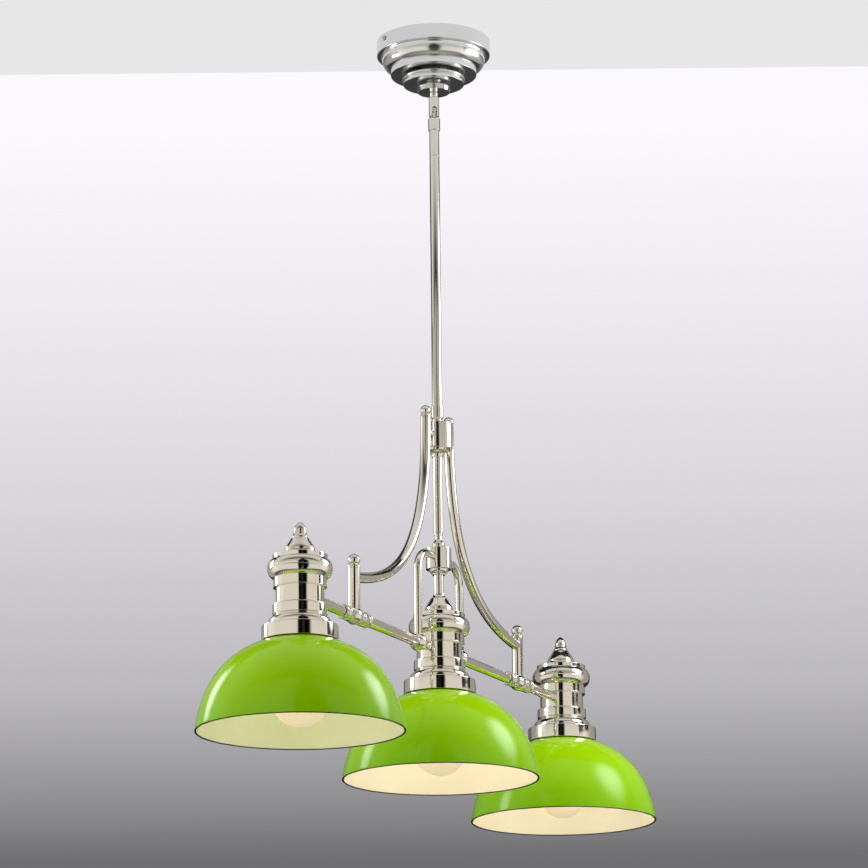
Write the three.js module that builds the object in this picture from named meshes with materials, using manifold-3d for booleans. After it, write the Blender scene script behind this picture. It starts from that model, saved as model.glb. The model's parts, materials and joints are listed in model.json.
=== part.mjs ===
// Three-shade pool table lamp: a polished nickel fixture on a down rod, with green cased glass domes.
// Millimetres, +Z up. The origin is the centre of the ceiling face; the crossbar lies along X.
// Everything under the canopy is placed in a group whose zero height is the shades' rim plane,
// so the heights named below are heights above the rims.
import * as THREE from 'three';
import { mergeVertices } from 'three/addons/utils/BufferGeometryUtils.js';
import Module from 'manifold-3d';

const wasm = await Module();
wasm.setup();

// ---- driving dimensions ----
const DROP = 1203.5; // ceiling face down to the shade rims
const LAMP_PITCH = 470; // centre to centre of neighbouring shades
const SHADE_R = 152.4; // 12 inch glass shade
const GLASS = 3.2; // shade wall
const GAP = 0.3; // clearance between pieces that meet
const WALL = 1.6; // spun metal and tube wall

const CANOPY_R = 91.3;
const BRACKET_TURN = THREE.MathUtils.degToRad(-33.5); // the side screws' direction
const SLOT_TURN = THREE.MathUtils.degToRad(35); // the swivel slot's direction, from X
const BALL_Z = 1088.5; // centre of the hang-straight ball
const BALL_R = 5.3;

const ROD_R = 8;
const HUB_R = 24.4;
const HUB_TOP = 565.7;
const HUB_BOTTOM = 524.5;
const LOWER_STEM_R = 7.5;
const LOWER_HUB_R = 20.2;
const LOWER_HUB_TOP = 364.4;
const LOWER_HUB_BOTTOM = 330.9;

const ARM_R = 8;
const ARM_X = 42; // the arms' upright stretch beside the hub
const ARM_TOP = 566.6;
const ARM_FOOT = 262; // height at which an arm meets its post
const STUD_Z = 545;
const POST_X = 295;
const POST_R = 9;
const POST_TOP = 274.7;
const BAR_Z = 202.5;
const BAR_R = 8;
const TEE_HALF = 41.5;
const TEE_SOCKET = 8; // depth the crossbar goes into a tee

const YOKE_R = 6.35;
const YOKE_X = 75;
const YOKE_Z = 349;
const YOKE_BEND = 32;
const YOKE_BALL_R = 14;

const NECK_R = 35.4; // the lamp housing's neck, where the crossbar meets it
const HOLDER_R = 56;
const HOLDER_TOP = 154.6;
const HOLDER_BOTTOM = 133;
const BULB_R = 41;
const BULB_Z = 47;

const NICKEL = { color: 0xd6d0c4, roughness: 0.08, metalness: 1 };
const GREEN_GLASS = { color: 0x7fb70f, roughness: 0.06, metalness: 0 };
const BULB_GLASS = { color: 0xf4ecd8, roughness: 0.3, metalness: 0 };
const PORCELAIN = { color: 0xe9e6de, roughness: 0.25, metalness: 0 };
const ZINC = { color: 0xa9adb0, roughness: 0.45, metalness: 1 };
const BRASS = { color: 0xb08d45, roughness: 0.35, metalness: 1 };

// ---- geometry helpers ----

// One closed shell: shared vertices merged, slivers dropped, faces outward.
function closed(geometry) {
  geometry.deleteAttribute('normal');
  geometry.deleteAttribute('uv');
  const merged = mergeVertices(geometry, 1e-4);
  const source = merged.index.array;
  const point = merged.attributes.position;
  const kept = [];
  let volume = 0;
  const [a, b, c] = [new THREE.Vector3(), new THREE.Vector3(), new THREE.Vector3()];
  for (let i = 0; i < source.length; i += 3) {
    const [p, q, r] = [source[i], source[i + 1], source[i + 2]];
    if (p === q || q === r || r === p) continue;
    kept.push(p, q, r);
    a.fromBufferAttribute(point, p);
    b.fromBufferAttribute(point, q);
    c.fromBufferAttribute(point, r);
    volume += a.dot(b.cross(c));
  }
  if (volume < 0) kept.reverse();
  merged.setIndex(kept);
  return merged;
}

// A turned piece about Z from [radius, height] points. It ends on the axis or closes on itself.
function turned(profile, sides) {
  const points = profile.map(([radius, height]) => new THREE.Vector2(radius, height));
  if (profile[0][0] > 0) points.push(points[0].clone());
  const geometry = new THREE.LatheGeometry(points, sides);
  geometry.rotateX(Math.PI / 2);
  return closed(geometry);
}

// The same, turned about X: points are [radius, distance along X].
function turnedX(profile, sides) {
  return turned(profile, sides).rotateY(Math.PI / 2);
}

function ring(outer, inner, low, high, sides) {
  return turned([[outer, low], [outer, high], [inner, high], [inner, low]], sides);
}

function disc(radius, low, high, sides) {
  return turned([[0, low], [radius, low], [radius, high], [0, high]], sides);
}

// A hollow tube swept along a curve.
function sweptTube(path, outer, inner, steps, sides) {
  const section = new THREE.Shape().absarc(0, 0, outer, 0, 2 * Math.PI, false);
  section.holes.push(new THREE.Path().absarc(0, 0, inner, 0, 2 * Math.PI, true));
  const extruded = new THREE.ExtrudeGeometry(section, {
    extrudePath: path, steps, curveSegments: sides / 2, bevelEnabled: false,
  });
  return closed(extruded);
}

// [radius, height] points on an arc of an ellipse, angles in degrees from the outward direction.
function arc(centre, radii, from, to, steps) {
  return Array.from({ length: steps + 1 }, (_, i) => {
    const angle = THREE.MathUtils.degToRad(from + (to - from) * i / steps);
    return [centre[0] + radii[0] * Math.cos(angle), centre[1] + radii[1] * Math.sin(angle)];
  });
}

function toSolid(geometry) {
  const clean = closed(geometry.clone());
  return new wasm.Manifold(new wasm.Mesh({
    numProp: 3,
    vertProperties: new Float32Array(clean.attributes.position.array),
    triVerts: new Uint32Array(clean.index.array),
  }));
}

function fromSolid(solid) {
  const mesh = solid.getMesh();
  const geometry = new THREE.BufferGeometry();
  geometry.setAttribute('position', new THREE.BufferAttribute(mesh.vertProperties, 3));
  geometry.setIndex(Array.from(mesh.triVerts));
  return geometry;
}

function cut(geometry, ...tools) {
  return fromSolid(tools.reduce((solid, tool) => solid.subtract(toSolid(tool)), toSolid(geometry)));
}

function joined(...geometries) {
  return fromSolid(geometries.map(toSolid).reduce((sum, solid) => sum.add(solid)));
}

function box(width, depth, height, x, y, z) {
  return closed(new THREE.BoxGeometry(width, depth, height)).translate(x, y, z);
}

// What stands on both sides of the stem is made on +X and turned half a turn for the left.
const SIDES = { left: -1, right: 1 };

function mirrored(geometry, side) {
  return side < 0 ? geometry.clone().rotateZ(Math.PI) : geometry;
}

const lamp = new THREE.Group();
const fixture = new THREE.Group(); // its zero height is the rim plane
fixture.position.z = -DROP;
lamp.add(fixture);

function place(parent, name, geometry, look, x = 0) {
  const mesh = new THREE.Mesh(geometry, new THREE.MeshStandardMaterial(look));
  mesh.name = name;
  mesh.position.x = x;
  parent.add(mesh);
  return mesh;
}

// ---- canopy and what it covers, heights below the ceiling face ----

const CANOPY_FLOOR = -76;
const COLLAR_BOTTOM = -86.5;
const HOLE_R = 5.3; // for the swivel's threaded end
const SIDE_SCREW_Z = -8.5;

function canopyShell() {
  const outside = [
    [CANOPY_R, 0], [CANOPY_R, -23.6], [CANOPY_R - 1.4, -25], [84, -25],
    ...arc([69.3, -27], [14, 19.5], 0, -90, 4),
    [69.1, -47], [69.1, -56], [68.2, -57], [39, -57],
    ...arc([36.5, -69.5], [10.4, 12], 74, 0, 3),
    [46.9, -72], [50.2, -72.4], [50.2, -75.4], [49.6, CANOPY_FLOOR], [HOLE_R, CANOPY_FLOOR],
  ];
  const inside = [
    [HOLE_R, CANOPY_FLOOR + WALL], [45, CANOPY_FLOOR + WALL], [45, -69.5], [42, -62], [37.2, -58],
    [37.2, -55.4], [67.3, -55.4], [67.3, -46.5], [76, -42], [81.5, -33], [81.5, -23.4],
    [CANOPY_R - WALL, -23.4], [CANOPY_R - WALL, 0],
  ];
  const screwHoles = turnedX([[0, -100], [2.4, -100], [2.4, 100], [0, 100]], 10);
  screwHoles.translate(0, 0, SIDE_SCREW_Z).rotateZ(BRACKET_TURN);
  return cut(turned([...outside, ...inside], 22), screwHoles);
}

function mountingBracket() {
  const span = 172;
  const width = 24;
  const leg = 20;
  const sheet = 2;
  const strap = box(span, width, sheet, 0, 0, -sheet / 2);
  const legs = [-1, 1].map((side) => box(sheet, width, leg, side * (span - sheet) / 2, 0, -leg / 2));
  const slots = [-1, 1].map((side) => box(14, 5.2, 4 * sheet, side * 41.3, 0, -sheet / 2));
  const screwHoles = turnedX([[0, -100], [2.3, -100], [2.3, 100], [0, 100]], 12);
  screwHoles.translate(0, 0, SIDE_SCREW_Z);
  return cut(joined(strap, ...legs), ...slots, screwHoles).rotateZ(BRACKET_TURN);
}

// A domed screw through the band into the bracket's leg, on the side that the sign gives.
function sideScrew(side) {
  const head = CANOPY_R + GAP;
  const profile = [[0, 81], [2, 81], [2, head], [4.2, head], [4.2, head + 0.9], [2.8, head + 2.1],
    [0, head + 2.4]];
  const screw = turnedX(profile, 12).translate(0, 0, SIDE_SCREW_Z);
  return mirrored(screw, side).rotateZ(BRACKET_TURN);
}

function hexNut(acrossFlats, bore, low, high) {
  return cut(disc(acrossFlats / Math.sqrt(3), low, high, 6), disc(bore, low - 1, high + 1, 16));
}

// Upper half of the hang-straight swivel: a slotted fork that holds the ball and opens downwards.
function swivelSocket() {
  const ball = BALL_Z - DROP;
  const stem = turned([
    [2.6, CANOPY_FLOOR + 12], [4.9, CANOPY_FLOOR + 12], [4.9, COLLAR_BOTTOM - GAP], [6.4, COLLAR_BOTTOM - GAP],
    [6.4, -94], [8.5, -95.4], [8.5, -126], [7.6, -127.1], [4.4, -127.1],
    [4.5, ball - 6], ...arc([0, ball], [5.7, 5.7], -38, 62, 4),
  ], 16);
  const slot = box(30, 8, 16, 0, 0, ball - 8);
  const slotEnd = turnedX([[0, -15], [4, -15], [4, 15], [0, 15]], 16).translate(0, 0, ball);
  return cut(stem, joined(slot, slotEnd).rotateZ(SLOT_TURN));
}

function ceilingParts() {
  place(lamp, 'mounting_bracket', mountingBracket(), ZINC);
  place(lamp, 'canopy', canopyShell(), NICKEL);
  for (const [word, side] of Object.entries(SIDES)) place(lamp, `side_screw_${word}`, sideScrew(side), NICKEL);
  const collar = [[HOLE_R, CANOPY_FLOOR - GAP], [16.6, CANOPY_FLOOR - GAP],
    ...arc([15, -84.3], [11.7, 8], 76, 0, 3), [26, COLLAR_BOTTOM], [HOLE_R, COLLAR_BOTTOM]];
  place(lamp, 'canopy_collar', turned(collar, 20), NICKEL);
  const seat = CANOPY_FLOOR + WALL + GAP;
  place(lamp, 'canopy_nut', hexNut(17, HOLE_R, seat, seat + 6), ZINC);
  place(lamp, 'swivel_socket', swivelSocket(), NICKEL);
}

// ---- down rod, heights above the rims ----

const COUPLER_TOP = 1073.3;
const STUB_JOINT = 1009.7; // where the stub rod meets the long rod
const SLEEVE_TOP = 594.8;

function downRodParts() {
  const ballStud = [[0, BALL_Z - 27], [4.6, BALL_Z - 27], [4.6, BALL_Z - 15.3], [5.2, BALL_Z - 15.1],
    [5.2, BALL_Z - 14.3], [3.8, BALL_Z - 13.2], [2.4, BALL_Z - 7],
    ...arc([0, BALL_Z], [BALL_R, BALL_R], -63, 75, 4), [0, BALL_Z + BALL_R]];
  place(fixture, 'swivel_ball_stud', turned(ballStud, 14), NICKEL);
  const coupler = [[5, COUPLER_TOP - 0.5], [8.6, COUPLER_TOP], [9.9, COUPLER_TOP - 1.4], [9.6, 1053.8],
    [9, 1053], [ROD_R + GAP, 1053], [ROD_R + GAP, 1061], [5, 1061]];
  place(fixture, 'rod_top_coupler', turned(coupler, 16), NICKEL);
  place(fixture, 'stub_rod', ring(ROD_R, ROD_R - WALL, STUB_JOINT + GAP / 2, 1060.7, 16), NICKEL);
  const nipple = ring(ROD_R - WALL - GAP, 4.6, STUB_JOINT - 16, STUB_JOINT + 16, 12);
  place(fixture, 'rod_joint_nipple', nipple, BRASS);
  const rodFoot = SLEEVE_TOP - 11.7;
  place(fixture, 'down_rod', ring(ROD_R, ROD_R - WALL, rodFoot, STUB_JOINT - GAP / 2, 16), NICKEL);
  const sleeve = [[ROD_R + GAP, SLEEVE_TOP], [9.2, SLEEVE_TOP], [9.8, SLEEVE_TOP - 0.8], [9.8, 575.6],
    [7.2, 571.6], [7.2, HUB_TOP + GAP], [4.9, HUB_TOP + GAP], [4.9, 553], [3.4, 553], [3.4, SLEEVE_TOP - 12],
    [ROD_R + GAP, SLEEVE_TOP - 12]];
  place(fixture, 'hub_sleeve', turned(sleeve, 16), NICKEL);
}

// ---- upper hub, arms and posts ----

// A screw-on ball with a cap as wide as its tube and a plug that goes inside.
function ballFinial(tubeR, top, ballR) {
  const cap = 4.2;
  const neck = ballR * 0.62;
  const ball = top + cap + ballR * 0.94;
  const plug = tubeR - 2 * WALL;
  return turned([[0, top - 8], [plug, top - 8], [plug, top + GAP], [tubeR, top + GAP],
    [tubeR, top + cap - 0.8], [tubeR - 0.8, top + cap], [neck, top + cap],
    ...arc([0, ball], [ballR, ballR], -50, 72, 5), [0, ball + ballR]], 14);
}

// Short turned stud from the hub's side to the arm, shaped to the hub.
function hubStud() {
  const end = ARM_X - ARM_R + 2;
  const stud = turnedX([[0, 20], [6.4, 20], [6.4, 27.5], [4.6, 30], [4.6, end], [0, end]], 10);
  return cut(stud.translate(0, 0, STUD_Z), disc(HUB_R + GAP, 500, 600, 32));
}

// The arm runs down beside the hub, sweeps out to its post and carries the stud brazed to it.
function armTube() {
  const sweep = new THREE.CubicBezierCurve3(
    new THREE.Vector3(ARM_X, 0, ARM_TOP), new THREE.Vector3(ARM_X, 0, 354),
    new THREE.Vector3(136.4, 0, 280.5), new THREE.Vector3(POST_X, 0, ARM_FOOT),
  );
  const post = disc(POST_R + GAP, 200, 320, 20).translate(POST_X, 0, 0);
  return joined(cut(sweptTube(sweep, ARM_R, ARM_R - WALL, 14, 10), post), hubStud());
}

// Outline of the tee on the crossbar: a round bulge between two rings and two end beads.
function teeProfile(grow) {
  const half = [...arc([0, 0], [13.3, 15.4], 0, 64, 3).map(([r, x]) => [Math.max(r, 9.8), x]),
    [9.8, 16.6], [11.3, 18.4], [11.4, 29.4], [9.4, 31.2], [9.4, 35.2], [11.3, 37], [11.3, 40.3],
    [10, TEE_HALF]];
  const other = half.slice(1).reverse().map(([r, x]) => [r, -x]);
  return [...other, ...half].map(([r, x]) => [r + grow, x]);
}

function teeBody() {
  const inner = TEE_HALF - TEE_SOCKET;
  const bore = [[BAR_R + GAP, TEE_HALF], [BAR_R + GAP, inner], [5, inner], [5, -inner], [BAR_R + GAP, -inner],
    [BAR_R + GAP, -TEE_HALF]];
  return turnedX([...teeProfile(0), ...bore], 12).translate(POST_X, 0, BAR_Z);
}

function postTube() {
  const solidTee = [[0, -TEE_HALF], ...teeProfile(GAP), [0, TEE_HALF]];
  const tube = ring(POST_R, POST_R - WALL, BAR_Z + 3, POST_TOP, 20).translate(POST_X, 0, 0);
  return cut(tube, turnedX(solidTee, 12).translate(POST_X, 0, BAR_Z));
}

function upperHubParts() {
  const top = HUB_TOP;
  const inside = HUB_R - WALL;
  const hub = [[5.2, top], [HUB_R - 1.2, top], [HUB_R, top - 1.2], [HUB_R, HUB_BOTTOM + 0.8],
    [HUB_R - 0.6, HUB_BOTTOM], [inside, HUB_BOTTOM], [inside, top - 2.4], [5.2, top - 2.4]];
  place(fixture, 'upper_hub', turned(hub, 20), NICKEL);
  const plate = inside - GAP;
  const bore = LOWER_STEM_R + GAP;
  const collar = [[bore, HUB_BOTTOM + 2.6], [plate, HUB_BOTTOM + 2.6], [plate, HUB_BOTTOM + 0.6],
    [17.6, HUB_BOTTOM + 0.6], [16.8, 521.4], [12.4, 518.6], [10, 516], [9.3, 513], [8.7, 511.6], [bore, 511.6]];
  place(fixture, 'hub_lower_collar', turned(collar, 16), NICKEL);
  const armFinial = ballFinial(ARM_R, ARM_TOP, 8.2).translate(ARM_X, 0, 0);
  const postFinial = ballFinial(POST_R, POST_TOP, 9.2).translate(POST_X, 0, 0);
  for (const [word, side] of Object.entries(SIDES)) {
    place(fixture, `arm_${word}`, mirrored(armTube(), side), NICKEL);
    place(fixture, `arm_finial_${word}`, mirrored(armFinial, side), NICKEL);
    place(fixture, `post_${word}`, mirrored(postTube(), side), NICKEL);
    place(fixture, `post_finial_${word}`, mirrored(postFinial, side), NICKEL);
    place(fixture, `tee_${word}`, mirrored(teeBody(), side), NICKEL);
  }
}

// ---- lower stem, lower hub and yoke ----

const DROP_TUBE_TOP = 326;
const DROP_TUBE_FOOT = 279;

// A short drum with a dished underside that takes the top of the centre drop tube.
function lowerHub() {
  const top = LOWER_HUB_TOP;
  const bore = LOWER_STEM_R + GAP;
  const outside = [[4.6, top], [LOWER_HUB_R - 0.8, top], [LOWER_HUB_R, top - 0.8],
    [LOWER_HUB_R, LOWER_HUB_BOTTOM], [15, LOWER_HUB_BOTTOM], [14.4, 328.4], [12.8, 325.4], [10.8, 323.2],
    [10.2, 321.9], [bore, 321.9]];
  const inside = [[bore, DROP_TUBE_TOP + GAP], [4.6, DROP_TUBE_TOP + GAP], [4.6, 333.4],
    [LOWER_HUB_R - WALL, 333.4], [LOWER_HUB_R - WALL, top - 2.4], [4.6, top - 2.4]];
  return turned([...outside, ...inside], 18);
}

// From the side of the lower hub over a bend and down to the ball on the crossbar.
function yokeTube() {
  const path = new THREE.CurvePath();
  const at = (x, z) => new THREE.Vector3(x, 0, z);
  const corner = YOKE_BEND * 0.5523; // handle length of a quarter circle
  const bendFrom = at(YOKE_X - YOKE_BEND, YOKE_Z);
  const bendTo = at(YOKE_X, YOKE_Z - YOKE_BEND);
  path.add(new THREE.LineCurve3(at(13, YOKE_Z), bendFrom));
  path.add(new THREE.CubicBezierCurve3(bendFrom, at(YOKE_X - YOKE_BEND + corner, YOKE_Z),
    at(YOKE_X, YOKE_Z - YOKE_BEND + corner), bendTo));
  path.add(new THREE.LineCurve3(bendTo, at(YOKE_X, BAR_Z + 4)));
  const hub = disc(LOWER_HUB_R + GAP, 300, 400, 32);
  const ball = new THREE.SphereGeometry(YOKE_BALL_R + GAP, 16, 12).translate(YOKE_X, 0, BAR_Z);
  return cut(sweptTube(path, YOKE_R, YOKE_R - WALL, 12, 10), hub, ball);
}

// Ball on the crossbar, with the bead and the threaded end that goes into the middle housing.
function yokeFitting() {
  const bead = 44.5;
  const fitting = turnedX([[0, 30], [4.6, 30], [4.6, 40], [6.2, bead - 4], [7.2, bead - 1.5], [7.2, bead + 1.5],
    [6.2, bead + 4], [5, 50.5], [5, 62], ...arc([0, YOKE_X], [YOKE_BALL_R, YOKE_BALL_R], -66, 68, 6),
    [0, YOKE_X + YOKE_BALL_R]], 14);
  return fitting.translate(0, 0, BAR_Z);
}

// A crossbar tube between two places on X, cut by whatever it meets.
function barTube(from, to, ...tools) {
  const tube = ring(BAR_R, BAR_R - WALL, from, to, 16).rotateY(Math.PI / 2).translate(0, 0, BAR_Z);
  return tools.length ? cut(tube, ...tools) : tube;
}

function lowerHubParts() {
  place(fixture, 'lower_stem', ring(LOWER_STEM_R, LOWER_STEM_R - WALL, 389.8, HUB_BOTTOM + 3.4, 16), NICKEL);
  const checkRing = [[4.6, 389.5], [6.6, 389.5], [6.6, 386.4], [5.6, 384], [5.6, 379.4], [8, 374.6], [10, 371],
    [10, 368], [8.4, 365.4], [8.4, LOWER_HUB_TOP + GAP], [4.6, LOWER_HUB_TOP + GAP]];
  place(fixture, 'lower_check_ring', turned(checkRing, 14), NICKEL);
  place(fixture, 'lower_hub', lowerHub(), NICKEL);
  const dropTube = ring(LOWER_STEM_R, LOWER_STEM_R - WALL, DROP_TUBE_FOOT, DROP_TUBE_TOP, 16);
  place(fixture, 'centre_drop_tube', dropTube, NICKEL);
  const ball = new THREE.SphereGeometry(YOKE_BALL_R + GAP, 16, 12).translate(YOKE_X, 0, BAR_Z);
  const endNeck = disc(NECK_R + GAP, 150, 250, 32).translate(LAMP_PITCH, 0, 0);
  const intoTee = TEE_HALF - TEE_SOCKET + GAP;
  const inner = barTube(YOKE_X + 3, POST_X - intoTee, ball);
  const outer = barTube(POST_X + intoTee, LAMP_PITCH - 20, endNeck);
  for (const [word, side] of Object.entries(SIDES)) {
    place(fixture, `yoke_${word}`, mirrored(yokeTube(), side), NICKEL);
    place(fixture, `yoke_fitting_${word}`, mirrored(yokeFitting(), side), NICKEL);
    place(fixture, `crossbar_inner_${word}`, mirrored(inner, side), NICKEL);
    place(fixture, `crossbar_outer_${word}`, mirrored(outer, side), NICKEL);
  }
}

// ---- the three lamps, each turned about its own axis ----

const CAP_FOOT = 225.2;
const SEAT_Z = 138; // where the glass is clamped
const MOUTH_R = 23; // hole in the top of the glass
const SOCKET_MOUTH = 99;

// Bell, flat flange and torus. The bell's top fits a finial or the centre drop tube.
function lampCap(bellTop) {
  const bore = bellTop[0][0];
  const outside = [...bellTop, [17.2, 280.4], [20.4, 275.2], [21.9, 268.4], [22.8, 263.4], [27, 260.4],
    [39.4, 259.4], [40.2, 258.6], [40.2, 253.6],
    ...arc([36.6, 239.2], [11.2, 14.6], 66, -66, 5), [40.6, CAP_FOOT]];
  const inside = [[39.1, CAP_FOOT], [39.1, 227.6], [44.6, 233], [44.6, 245.6], [38.2, 251.4], [38.2, 256.6],
    [24, 258.4], [19.6, 264], [18.4, 272], [14.4, 278], [bore, bellTop[0][1] - 2 * WALL]];
  return turned([...outside, ...inside], 16);
}

// Upper band, neck, lower band and skirt of the housing, with wire holes where the crossbar meets it.
function lampHousing(holeSides) {
  const foot = HOLDER_TOP + GAP;
  const outside = [[36.8, 228], [38.8, 228], [38.8, 211.3], [NECK_R, 210.9], [NECK_R, 186.6], [39, 186.4],
    [40.2, 184.6], [40.2, 172.2], [39, 170], [37.6, 169.6], [37.4, 168.4], [42, 166.6], [45.2, 162.4],
    [46.4, 156.6], [46.6, foot]];
  const inside = [[45, foot], [43.4, 161.4], [40.4, 164.6], [35.6, 166.8], [35.4, 170.6], [38.2, 173.2],
    [38.2, 184.4], [NECK_R - WALL, 184.8], [NECK_R - WALL, 212.4], [36.8, 213]];
  const holes = holeSides.map((side) => turnedX([[0, 0], [5.2, 0], [5.2, side * 60], [0, side * 60]], 10)
    .translate(0, 0, BAR_Z));
  return cut(turned([...outside, ...inside], 16), ...holes);
}

function shadeHolder() {
  return turned([[MOUTH_R, HOLDER_TOP], [HOLDER_R - 1.6, HOLDER_TOP], [HOLDER_R, HOLDER_TOP - 1.6],
    [HOLDER_R, HOLDER_BOTTOM + 0.6], [HOLDER_R - 0.5, HOLDER_BOTTOM], [HOLDER_R - WALL, HOLDER_BOTTOM],
    [HOLDER_R - WALL, HOLDER_TOP - 2], [MOUTH_R, HOLDER_TOP - 2]], 18);
}

// Porcelain lampholder on its hollow hanging rod: cap, clamping collar and threaded shell, open at the mouth.
function lampholder(rodTop) {
  const clamp = [[18.4, SEAT_Z + 5.4], [30, SEAT_Z + 5.4], [30, SEAT_Z + 1.4], [20.2, SEAT_Z + 1.4]];
  return turned([[3.7, rodTop], [4.9, rodTop], [4.9, 168], [14, 168], [18.4, 164], ...clamp,
    [20.2, SOCKET_MOUTH], [13.8, SOCKET_MOUTH], [13.8, 128], [3.7, 132]], 14);
}

function retainingRing() {
  return turned([[20.6, 124], [25, 124], [29, 128.6], [29, 131.6], [20.6, 131.6]], 16);
}

// The dome follows one smooth curve from the rim to its clamped top.
function glassShade() {
  const dome = new THREE.CubicBezierCurve(
    new THREE.Vector2(SHADE_R, 0), new THREE.Vector2(142.5, 71.7),
    new THREE.Vector2(110.7, 113), new THREE.Vector2(50, 133),
  );
  const steps = 6;
  const outside = [];
  const inside = [];
  for (let i = 0; i <= steps; i += 1) {
    const at = dome.getPoint(i / steps);
    const along = dome.getTangent(i / steps);
    outside.push([at.x, at.y]);
    inside.push([at.x - along.y * GLASS, at.y + along.x * GLASS]);
  }
  inside[0][1] = 0;
  const top = [[MOUTH_R, SEAT_Z], [MOUTH_R, SEAT_Z - GLASS]];
  return turned([...outside, ...top, ...inside.reverse()], 24);
}

// Globe bulb with its screw base and centre contact.
function globeBulb() {
  return turned([[0, BULB_Z - BULB_R], ...arc([0, BULB_Z], [BULB_R, BULB_R], -72, 62, 7), [13.4, 91],
    [13.2, 97], [13.2, 119], [10, 122], [4.4, 124], [4.4, 126], [0, 126]], 16);
}

// Pointed ball over a short flaring skirt, with the threaded end that goes into the hanging rod.
function acornFinial() {
  return turned([[0, 272], [3.4, 272], [3.4, 285.1], [11.8, 285.1], [11.8, 286.4], [10.4, 289.6], [8.2, 293.8],
    [7.8, 295.4], [9.9, 296.2], [9.9, 297.6], [9.2, 300.4], [7, 304], [3.6, 307.2], [0, 309]], 14);
}

const LAMPS = {
  left: { x: -LAMP_PITCH, holes: [1], bellTop: [[5.2, 284.8], [13, 284.8]], rodTop: 283 },
  middle: { x: 0, holes: [-1, 1], bellTop: [[7.8, 292], [9.4, 292], [10.6, 288], [13.2, 284.6]], rodTop: 296 },
  right: { x: LAMP_PITCH, holes: [-1], bellTop: [[5.2, 284.8], [13, 284.8]], rodTop: 283 },
};

function lampParts() {
  for (const [word, { x, holes, bellTop, rodTop }] of Object.entries(LAMPS)) {
    place(fixture, `cap_${word}`, lampCap(bellTop), NICKEL, x);
    place(fixture, `housing_${word}`, lampHousing(holes), NICKEL, x);
    place(fixture, `shade_holder_${word}`, shadeHolder(), NICKEL, x);
    place(fixture, `lampholder_${word}`, lampholder(rodTop), PORCELAIN, x);
    place(fixture, `shade_${word}`, glassShade(), GREEN_GLASS, x);
    place(fixture, `shade_ring_${word}`, retainingRing(), BRASS, x);
    place(fixture, `bulb_${word}`, globeBulb(), BULB_GLASS, x);
    if (x) place(fixture, `lamp_finial_${word}`, acornFinial(), NICKEL, x);
  }
}

ceilingParts();
downRodParts();
upperHubParts();
lowerHubParts();
lampParts();

export default lamp;
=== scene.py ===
"""Three-shade pool table lamp: finished meshes, materials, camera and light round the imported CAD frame.

Lengths in the shape functions are millimetres; Blender objects are metres. Heights under the canopy are
heights above the shades' rim plane. Outlines are [radius, height] points, turned about the named axis.
"""
import json
import math
import bmesh
import bpy
from mathutils import Matrix, Vector

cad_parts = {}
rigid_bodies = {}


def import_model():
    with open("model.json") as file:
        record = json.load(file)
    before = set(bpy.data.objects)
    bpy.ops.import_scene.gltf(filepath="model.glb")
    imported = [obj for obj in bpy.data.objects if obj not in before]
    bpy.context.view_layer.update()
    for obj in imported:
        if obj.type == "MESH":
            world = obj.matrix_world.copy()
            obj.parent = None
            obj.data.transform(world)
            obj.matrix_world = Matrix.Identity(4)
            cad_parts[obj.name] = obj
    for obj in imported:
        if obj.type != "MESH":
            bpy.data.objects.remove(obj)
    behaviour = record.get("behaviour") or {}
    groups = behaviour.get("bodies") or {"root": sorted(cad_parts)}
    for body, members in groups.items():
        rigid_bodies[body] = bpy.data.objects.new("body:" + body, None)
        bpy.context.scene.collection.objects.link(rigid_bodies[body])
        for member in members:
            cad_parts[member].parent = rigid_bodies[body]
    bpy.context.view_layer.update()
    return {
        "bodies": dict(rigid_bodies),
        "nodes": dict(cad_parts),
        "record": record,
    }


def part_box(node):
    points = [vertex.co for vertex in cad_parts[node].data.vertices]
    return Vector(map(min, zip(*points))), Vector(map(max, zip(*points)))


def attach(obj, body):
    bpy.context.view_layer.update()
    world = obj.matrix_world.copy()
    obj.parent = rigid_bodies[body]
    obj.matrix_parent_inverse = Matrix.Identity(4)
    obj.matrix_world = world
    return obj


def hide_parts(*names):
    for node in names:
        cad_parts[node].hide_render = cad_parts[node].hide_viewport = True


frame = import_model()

MM = 0.001
BODY_OF = {node: body for body, nodes in frame["record"]["behaviour"]["bodies"].items() for node in nodes}


def middle(node):
    low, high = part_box(node)
    return (low + high) / 2


# ---- driving dimensions, taken from the frame and in millimetres ----
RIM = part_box("shade_middle")[0].z / MM  # height of the rim plane in the frame
PITCH = middle("shade_right").x / MM
POST_X = middle("post_right").x / MM
BAR_Z = middle("tee_right").z / MM - RIM
SIDES = {"left": -1, "right": 1}
LAMP_X = {"left": -PITCH, "middle": 0.0, "right": PITCH}
GAP = 0.3
WALL = 1.6


# ---- camera, first of all ----
CAMERA_FROM_RIM = Vector((-5.46702, -2.58910, -1.02030))  # metres from the middle rim's centre
CAMERA_YAW = 1.127649  # from +Y towards +X
CAMERA_PITCH = 0.253989
CAMERA_ROLL = -0.010052
CAMERA_LENS = 164.59


def make_camera():
    camera = bpy.data.objects.new("camera", bpy.data.cameras.new("camera"))
    camera.data.lens = CAMERA_LENS
    camera.data.clip_end = 60
    turn = (Matrix.Rotation(-CAMERA_YAW, 4, "Z") @ Matrix.Rotation(math.pi / 2 + CAMERA_PITCH, 4, "X")
            @ Matrix.Rotation(CAMERA_ROLL, 4, "Z"))
    place = Vector((0, 0, RIM * MM)) + CAMERA_FROM_RIM
    camera.matrix_world = Matrix.Translation(place) @ turn
    bpy.context.scene.collection.objects.link(camera)
    bpy.context.scene.camera = camera
    bpy.context.scene.view_settings.view_transform = "Standard"


make_camera()


# ---- outlines ----
SOFT_CORNER = math.radians(20)


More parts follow.
